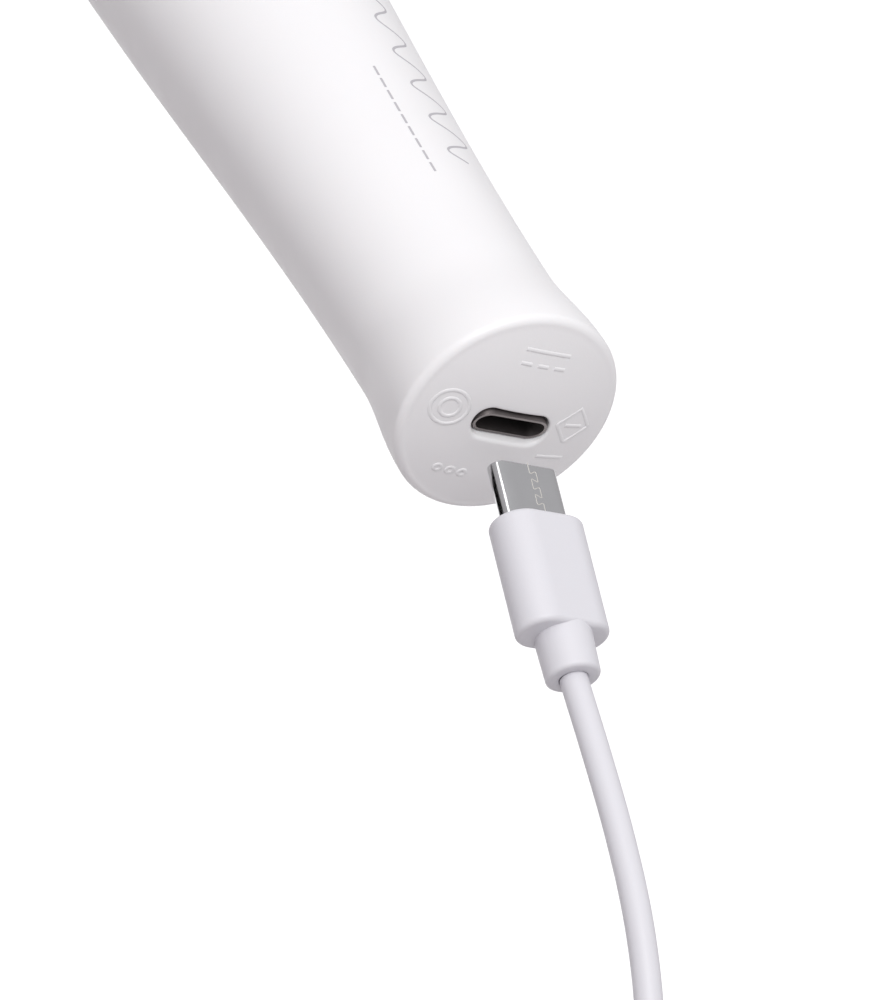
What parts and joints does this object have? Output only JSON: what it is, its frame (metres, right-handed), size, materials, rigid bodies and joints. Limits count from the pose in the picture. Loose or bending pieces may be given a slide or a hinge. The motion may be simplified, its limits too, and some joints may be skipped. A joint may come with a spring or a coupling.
{
  "type": "handheld wand massager",
  "caption": "Slim cordless wand massager with a waisted soft handle, a bending neck, a round vibrating head and a tilted end-face charging port with its plug and lead.",
  "frame": {"origin": "on the handle's centre line at the middle of the grip, 80 mm in front of the rim of the charging end", "axes": "+X along the handle towards the charging port, +Z out through the buttons, +Y to the left of someone looking along +X with the buttons up"},
  "size_m": [0.336, 0.048, 0.1554],
  "materials": {
    "soft_sleeve": "white satin silicone, very smooth",
    "shell_plastic": "light grey moulded ABS",
    "panel_plastic": "white gloss ABS",
    "button_metal": "satin silver plated plastic",
    "button_plastic": "white satin ABS with grey symbols",
    "switch_plastic": "black moulded nylon",
    "circuit_board": "green solder mask on fibreglass",
    "steel": "zinc plated steel",
    "light_guide": "clear frosted acrylic",
    "cell_wrap": "blue shrink wrap",
    "foam": "black closed-cell foam",
    "connector_metal": "nickel plated steel",
    "connector_plastic": "black glass-filled nylon",
    "frame_plastic": "dark grey acetal",
    "lead_insulation": "red and black PVC",
    "motor_steel": "zinc plated drawn steel",
    "brass": "turned brass",
    "cable_plastic": "white satin TPE",
    "tie_plastic": "white soft strap"
  },
  "bodies": {
    "handle": {"handle_sleeve": "soft_sleeve", "upper_shell": "shell_plastic", "lower_shell": "shell_plastic", "case_screws": "steel", "button_panel": "panel_plastic", "key_switches": "switch_plastic", "control_board": "circuit_board", "board_screws": "steel", "light_guide": "light_guide", "status_led": "panel_plastic", "battery_cell": "cell_wrap", "battery_pads": "foam", "charge_board": "circuit_board", "port_shell": "connector_metal", "port_tongue": "connector_plastic", "handle_yoke": "frame_plastic", "neck_sleeve_rear": "soft_sleeve", "motor_leads": "lead_insulation"},
    "neck_gimbal": {"neck_ring": "frame_plastic", "pitch_pins": "steel", "yaw_pins": "steel"},
    "head": {"head_yoke": "frame_plastic", "neck_sleeve_front": "soft_sleeve", "housing_front": "shell_plastic", "housing_rear": "shell_plastic", "housing_screws": "steel", "motor_bracket": "shell_plastic", "motor_can": "motor_steel", "motor_end_cap": "switch_plastic", "motor_bushes": "brass", "head_cover": "soft_sleeve"},
    "motor_rotor": {"rotor": "steel", "eccentric_weight": "brass"},
    "power_key": {"power_button": "button_metal", "power_plunger": "switch_plastic"},
    "plus_key": {"plus_button": "button_plastic", "plus_plunger": "switch_plastic"},
    "minus_key": {"minus_button": "button_plastic", "minus_plunger": "switch_plastic"},
    "charging_plug": {"plug_shell": "connector_metal", "plug_insert": "connector_plastic", "plug_overmold": "cable_plastic", "plug_relief": "cable_plastic", "charge_cable": "cable_plastic", "cable_coil": "cable_plastic", "cable_tail": "cable_plastic", "cable_tie": "tie_plastic", "usb_a_relief": "cable_plastic", "usb_a_overmold": "cable_plastic", "usb_a_shell": "connector_metal", "usb_a_tongue": "cable_plastic"}
  },
  "joints": [
    {"name": "neck_pitch", "type": "hinge", "parent": "handle", "child": "neck_gimbal", "pos_m": [-0.0978, 0, 0], "axis": [0, 1, 0], "range_deg": [-12, 12], "stiffness_Nm_per_rad": 2.5, "deforming": ["neck_sleeve_rear", "motor_leads"]},
    {"name": "neck_yaw", "type": "hinge", "parent": "neck_gimbal", "child": "head", "pos_m": [-0.0978, 0, 0], "axis": [0, 0, 1], "range_deg": [-12, 12], "stiffness_Nm_per_rad": 2.5, "deforming": ["neck_sleeve_front"]},
    {"name": "motor_spin", "type": "hinge", "parent": "head", "child": "motor_rotor", "pos_m": [-0.1378, 0, 0], "axis": [1, 0, 0], "continuous": true},
    {"name": "power_press", "type": "slide", "parent": "handle", "child": "power_key", "axis": [0, 0, -1], "range_m": [0, 0.0005], "stiffness_N_per_m": 600},
    {"name": "plus_press", "type": "slide", "parent": "handle", "child": "plus_key", "axis": [0, 0, -1], "range_m": [0, 0.0005], "stiffness_N_per_m": 600},
    {"name": "minus_press", "type": "slide", "parent": "handle", "child": "minus_key", "axis": [0, 0, -1], "range_m": [0, 0.0005], "stiffness_N_per_m": 600},
    {"name": "plug_insert", "type": "slide", "parent": "handle", "child": "charging_plug", "axis": [-0.9397, 0, 0.342], "range_m": [0, 0.0108]}
  ]
}
